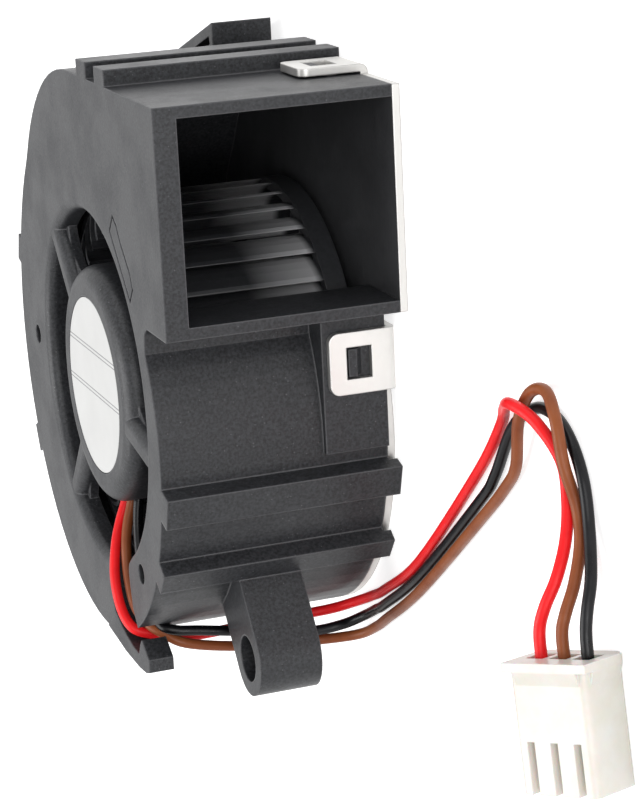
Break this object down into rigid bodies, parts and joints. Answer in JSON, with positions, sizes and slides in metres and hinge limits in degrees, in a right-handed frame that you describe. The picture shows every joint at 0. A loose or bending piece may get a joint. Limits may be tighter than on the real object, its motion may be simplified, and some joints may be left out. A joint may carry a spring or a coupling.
{
  "type": "dc blower fan",
  "caption": "Flat radial blower with a scroll housing, square side outlet, round intake, clipped metal back plate, brushless motor, forward-curved impeller and three leads with a plug.",
  "frame": {"origin": "impeller axis at the outer face of the back plate", "axes": "+Z along the impeller axis towards the intake and label side; -Y out of the outlet; +X towards the duct's outer wall"},
  "size_m": [0.0654, 0.1104, 0.0257],
  "materials": {
    "housing_plastic": "fine satin moulding",
    "impeller_plastic": "glossy moulding",
    "plate_steel": "plated sheet",
    "label_film": "satin film",
    "brass": "turned",
    "bearing_steel": "ground",
    "spring_steel": "drawn wire",
    "shaft_steel": "ground",
    "yoke_steel": "plated",
    "magnet": "bonded ferrite",
    "washer_nylon": "moulded",
    "lamination_steel": "stamped",
    "insulator_nylon": "moulded",
    "copper": "enamelled winding",
    "board": "solder mask",
    "chip": "moulded epoxy",
    "board_part": "ceramic",
    "pin_tin": "tinned",
    "red_pvc": "soft insulation",
    "brown_pvc": "soft insulation",
    "black_pvc": "soft insulation",
    "plug_nylon": "natural nylon"
  },
  "bodies": {
    "frame": {"housing": "housing_plastic", "back_plate": "plate_steel", "label": "label_film", "bearing_sleeve": "brass", "upper_outer_ring": "bearing_steel", "lower_outer_ring": "bearing_steel", "bearing_shields": "bearing_steel", "stator_core": "lamination_steel", "upper_insulator": "insulator_nylon", "lower_insulator": "insulator_nylon", "stator_coils": "copper", "coil_pins": "pin_tin", "circuit_board": "board", "drive_chip": "chip", "board_parts": "board_part", "red_wire": "red_pvc", "brown_wire": "brown_pvc", "black_wire": "black_pvc", "plug_housing": "plug_nylon", "crimp_terminals": "pin_tin"},
    "rotor": {"impeller": "impeller_plastic", "rotor_yoke": "yoke_steel", "rotor_magnet": "magnet", "shaft": "shaft_steel", "shaft_bushing": "brass", "retaining_ring": "spring_steel", "wear_washer": "washer_nylon", "upper_inner_ring": "bearing_steel", "lower_inner_ring": "bearing_steel", "preload_spring": "spring_steel"},
    "upper_balls": {"upper_ball_set": "bearing_steel"},
    "lower_balls": {"lower_ball_set": "bearing_steel"}
  },
  "joints": [
    {"name": "rotor_spin", "type": "hinge", "parent": "frame", "child": "rotor", "pos_m": [0, 0, 0.0125], "axis": [0, 0, -1], "continuous": true},
    {"name": "upper_ball_orbit", "type": "hinge", "parent": "frame", "child": "upper_balls", "pos_m": [0, 0, 0.02], "axis": [0, 0, -1], "continuous": true},
    {"name": "lower_ball_orbit", "type": "hinge", "parent": "frame", "child": "lower_balls", "pos_m": [0, 0, 0.0085], "axis": [0, 0, -1], "continuous": true}
  ],
  "couplings": [
    {"joint": "upper_ball_orbit", "follows": "rotor_spin", "ratio": 0.38},
    {"joint": "lower_ball_orbit", "follows": "rotor_spin", "ratio": 0.38}
  ]
}
